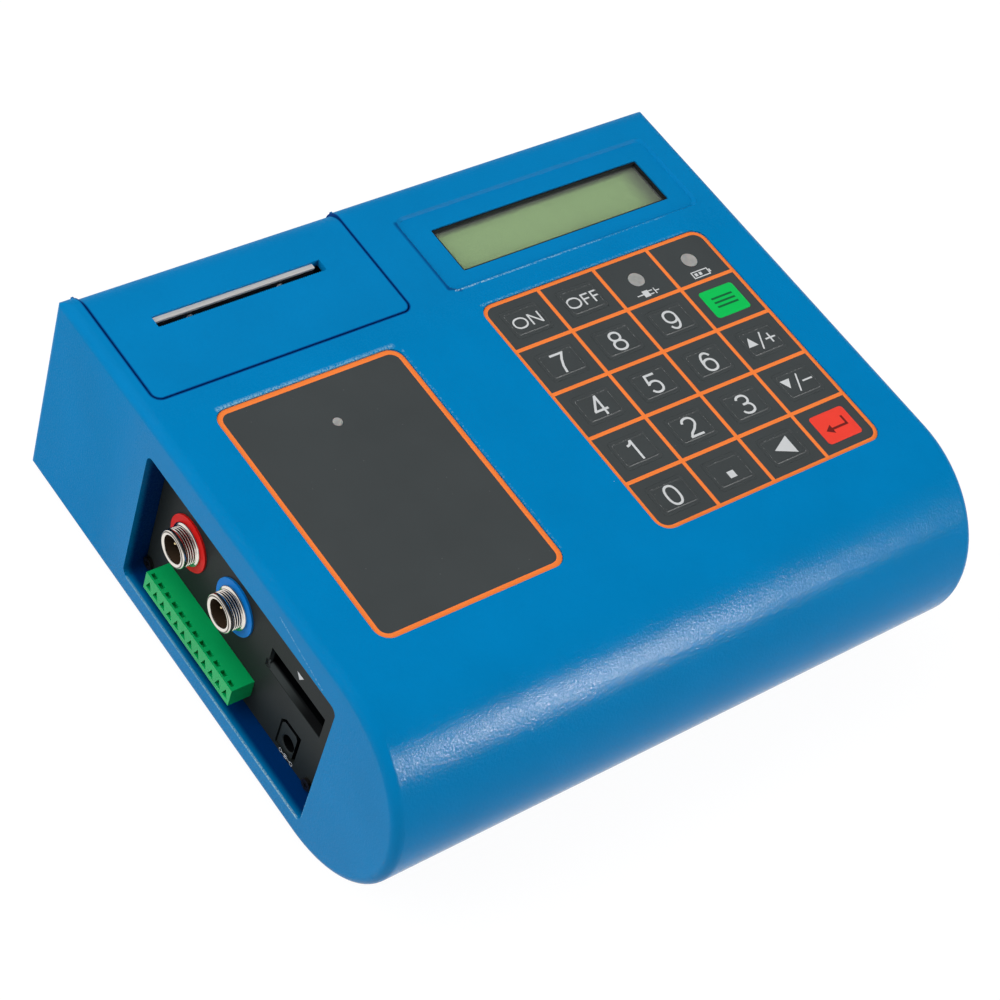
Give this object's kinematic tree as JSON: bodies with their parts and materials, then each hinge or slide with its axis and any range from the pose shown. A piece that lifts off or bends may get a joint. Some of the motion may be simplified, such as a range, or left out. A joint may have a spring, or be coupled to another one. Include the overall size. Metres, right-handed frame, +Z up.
{
  "type": "ultrasonic flow meter",
  "caption": "Portable ultrasonic flow meter: blue case with membrane keypad, two-line display, built-in strip printer under a hinged lid, and a recessed connector panel.",
  "frame": {"origin": "middle of the meter's box, at the height of what its feet stand on", "axes": "+X along the width towards the side without connectors, +Y from the round nose to the back, +Z up from the feet"},
  "size_m": [0.218, 0.1864, 0.0765],
  "materials": {
    "case_paint": "fine textured powder coat, satin",
    "feet": "matte",
    "black_plastic": "satin moulded",
    "black_screws": "black oxide",
    "steel": "plated",
    "window": "clear",
    "lcd": "grey green, semi-gloss",
    "circuit_board": "solder mask",
    "sheet": "fine textured polyester film",
    "green_key": "satin",
    "red_key": "satin",
    "lens": "translucent grey",
    "print_head": "glazed",
    "roller_rubber": "ground matte",
    "nylon": "natural",
    "paper": "thermal paper",
    "red_plastic": "satin",
    "blue_plastic": "satin",
    "chrome": "bright nickel plate",
    "insert": "dark brown insulator",
    "contacts": "gold flash",
    "terminal_green": "moulded",
    "battery_wrap": "heat-shrink sleeve"
  },
  "bodies": {
    "case": {"upper_case": "case_paint", "base_plate": "case_paint", "case_screws": "steel", "rubber_feet": "feet", "connector_panel": "black_plastic", "panel_screws": "black_screws", "lid_hinge_pin": "steel", "lcd_window": "window", "lcd_glass": "lcd", "lcd_bezel": "black_plastic", "lcd_board": "circuit_board", "keypad_overlay": "sheet", "keypad_circuit": "circuit_board", "indicator_lenses": "lens", "printer_label": "sheet", "red_ring": "red_plastic", "blue_ring": "blue_plastic", "upstream_socket": "chrome", "downstream_socket": "chrome", "socket_inserts": "insert", "socket_pins": "contacts", "socket_nuts": "chrome", "terminal_header": "terminal_green", "terminal_pins": "contacts", "card_reader": "steel", "card_board": "circuit_board", "dc_jack": "black_plastic", "main_board": "circuit_board", "battery_pack": "battery_wrap"},
    "lid": {"printer_lid": "case_paint", "printer_frame": "black_plastic", "print_head": "print_head", "tear_bar": "steel", "tear_bar_screws": "steel", "stepper_motor": "steel"},
    "roller": {"platen_shaft": "steel", "platen_roller": "roller_rubber", "platen_gear": "nylon"},
    "pinion": {"motor_pinion": "nylon"},
    "roll": {"paper_roll": "paper", "paper_spindle": "nylon"},
    "plug": {"terminal_plug": "terminal_green"},
    "key_on_pad": {"key_on": "sheet"},
    "key_off_pad": {"key_off": "sheet"},
    "key_menu_pad": {"key_menu": "green_key"},
    "key_up_pad": {"key_up": "sheet"},
    "key_down_pad": {"key_down": "sheet"},
    "key_enter_pad": {"key_enter": "red_key"},
    "key_left_pad": {"key_left": "sheet"},
    "key_dot_pad": {"key_dot": "sheet"},
    "key_0_pad": {"key_0": "sheet"},
    "key_1_pad": {"key_1": "sheet"},
    "key_2_pad": {"key_2": "sheet"},
    "key_3_pad": {"key_3": "sheet"},
    "key_4_pad": {"key_4": "sheet"},
    "key_5_pad": {"key_5": "sheet"},
    "key_6_pad": {"key_6": "sheet"},
    "key_7_pad": {"key_7": "sheet"},
    "key_8_pad": {"key_8": "sheet"},
    "key_9_pad": {"key_9": "sheet"}
  },
  "joints": [
    {"name": "lid_hinge", "type": "hinge", "parent": "case", "child": "lid", "pos_m": [-0.0591, 0.0912, 0.062], "axis": [-1, 0, 0], "range_deg": [0, 85]},
    {"name": "roller_spin", "type": "hinge", "parent": "lid", "child": "roller", "pos_m": [-0.0591, 0.0684, 0.0635], "axis": [1, 0, 0], "continuous": true},
    {"name": "pinion_spin", "type": "hinge", "parent": "lid", "child": "pinion", "pos_m": [-0.0918, 0.05769, 0.06444], "axis": [1, 0, 0], "continuous": true},
    {"name": "roll_spin", "type": "hinge", "parent": "case", "child": "roll", "pos_m": [-0.0591, 0.0705, 0.028], "axis": [1, 0, 0], "continuous": true},
    {"name": "plug_slide", "type": "slide", "parent": "case", "child": "plug", "axis": [-1, 0, 0], "range_m": [0, 0.014]},
    {"name": "key_on_press", "type": "slide", "parent": "case", "child": "key_on_pad", "axis": [0, 0, -1], "range_m": [0, 0.0004], "stiffness_N_per_m": 800},
    {"name": "key_off_press", "type": "slide", "parent": "case", "child": "key_off_pad", "axis": [0, 0, -1], "range_m": [0, 0.0004], "stiffness_N_per_m": 800},
    {"name": "key_menu_press", "type": "slide", "parent": "case", "child": "key_menu_pad", "axis": [0, 0, -1], "range_m": [0, 0.0004], "stiffness_N_per_m": 800},
    {"name": "key_up_press", "type": "slide", "parent": "case", "child": "key_up_pad", "axis": [0, 0, -1], "range_m": [0, 0.0004], "stiffness_N_per_m": 800},
    {"name": "key_down_press", "type": "slide", "parent": "case", "child": "key_down_pad", "axis": [0, 0, -1], "range_m": [0, 0.0004], "stiffness_N_per_m": 800},
    {"name": "key_enter_press", "type": "slide", "parent": "case", "child": "key_enter_pad", "axis": [0, 0, -1], "range_m": [0, 0.0004], "stiffness_N_per_m": 800},
    {"name": "key_left_press", "type": "slide", "parent": "case", "child": "key_left_pad", "axis": [0, 0, -1], "range_m": [0, 0.0004], "stiffness_N_per_m": 800},
    {"name": "key_dot_press", "type": "slide", "parent": "case", "child": "key_dot_pad", "axis": [0, 0, -1], "range_m": [0, 0.0004], "stiffness_N_per_m": 800},
    {"name": "key_0_press", "type": "slide", "parent": "case", "child": "key_0_pad", "axis": [0, 0, -1], "range_m": [0, 0.0004], "stiffness_N_per_m": 800},
    {"name": "key_1_press", "type": "slide", "parent": "case", "child": "key_1_pad", "axis": [0, 0, -1], "range_m": [0, 0.0004], "stiffness_N_per_m": 800},
    {"name": "key_2_press", "type": "slide", "parent": "case", "child": "key_2_pad", "axis": [0, 0, -1], "range_m": [0, 0.0004], "stiffness_N_per_m": 800},
    {"name": "key_3_press", "type": "slide", "parent": "case", "child": "key_3_pad", "axis": [0, 0, -1], "range_m": [0, 0.0004], "stiffness_N_per_m": 800},
    {"name": "key_4_press", "type": "slide", "parent": "case", "child": "key_4_pad", "axis": [0, 0, -1], "range_m": [0, 0.0004], "stiffness_N_per_m": 800},
    {"name": "key_5_press", "type": "slide", "parent": "case", "child": "key_5_pad", "axis": [0, 0, -1], "range_m": [0, 0.0004], "stiffness_N_per_m": 800},
    {"name": "key_6_press", "type": "slide", "parent": "case", "child": "key_6_pad", "axis": [0, 0, -1], "range_m": [0, 0.0004], "stiffness_N_per_m": 800},
    {"name": "key_7_press", "type": "slide", "parent": "case", "child": "key_7_pad", "axis": [0, 0, -1], "range_m": [0, 0.0004], "stiffness_N_per_m": 800},
    {"name": "key_8_press", "type": "slide", "parent": "case", "child": "key_8_pad", "axis": [0, 0, -1], "range_m": [0, 0.0004], "stiffness_N_per_m": 800},
    {"name": "key_9_press", "type": "slide", "parent": "case", "child": "key_9_pad", "axis": [0, 0, -1], "range_m": [0, 0.0004], "stiffness_N_per_m": 800}
  ],
  "couplings": [
    {"joint": "pinion_spin", "follows": "roller_spin", "ratio": -2.3077}
  ]
}
